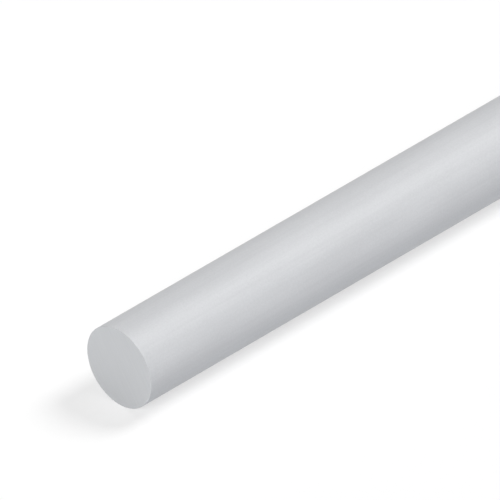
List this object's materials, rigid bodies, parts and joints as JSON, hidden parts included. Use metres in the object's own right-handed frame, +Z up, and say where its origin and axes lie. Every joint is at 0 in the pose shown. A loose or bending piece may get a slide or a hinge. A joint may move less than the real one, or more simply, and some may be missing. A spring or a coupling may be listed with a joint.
{
  "type": "rubber round cord",
  "caption": "Straight length of solid round rubber cord with square-cut ends: raw stock that is cut and joined into seals, gaskets and joint fillers.",
  "frame": {"origin": "on the floor, under the middle of the cord's length", "axes": "+X along the cord, from the cut end that the picture shows towards the one that it leaves out; +Z up"},
  "size_m": [1, 0.0398, 0.04],
  "materials": {
    "rubber": "matte, extruded"
  },
  "bodies": {
    "root": {"round_cord": "rubber"}
  },
  "joints": []
}
